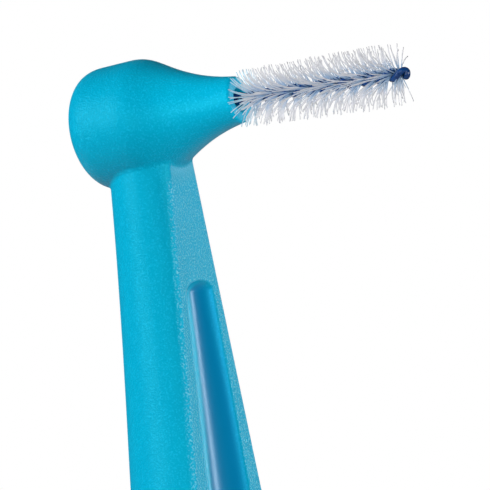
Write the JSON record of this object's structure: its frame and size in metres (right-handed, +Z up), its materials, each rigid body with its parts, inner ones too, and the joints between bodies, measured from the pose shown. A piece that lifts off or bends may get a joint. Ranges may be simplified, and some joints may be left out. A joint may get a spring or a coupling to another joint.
{
  "type": "interdental brush",
  "caption": "Angled interdental brush: long flat-fronted plastic handle with a finger groove, domed head and cone, and a twisted coated-wire brush with fine nylon bristles.",
  "frame": {"origin": "the middle of the flat thumb face on the front of the grip", "axes": "+Z up the handle towards the head, +X out of the front face, the way the brush points, and Y = 0 the plane of symmetry of the handle"},
  "size_m": [0.0222, 0.0112, 0.1542],
  "materials": {
    "handle_plastic": "fine spark-eroded grain, with a polished finger groove",
    "wire_steel": "drawn",
    "coating_plastic": "glossy",
    "bristle_nylon": "translucent nylon filament"
  },
  "bodies": {
    "root": {"handle": "handle_plastic", "wire_core": "wire_steel", "wire_coating": "coating_plastic", "bristles": "bristle_nylon"}
  },
  "joints": []
}
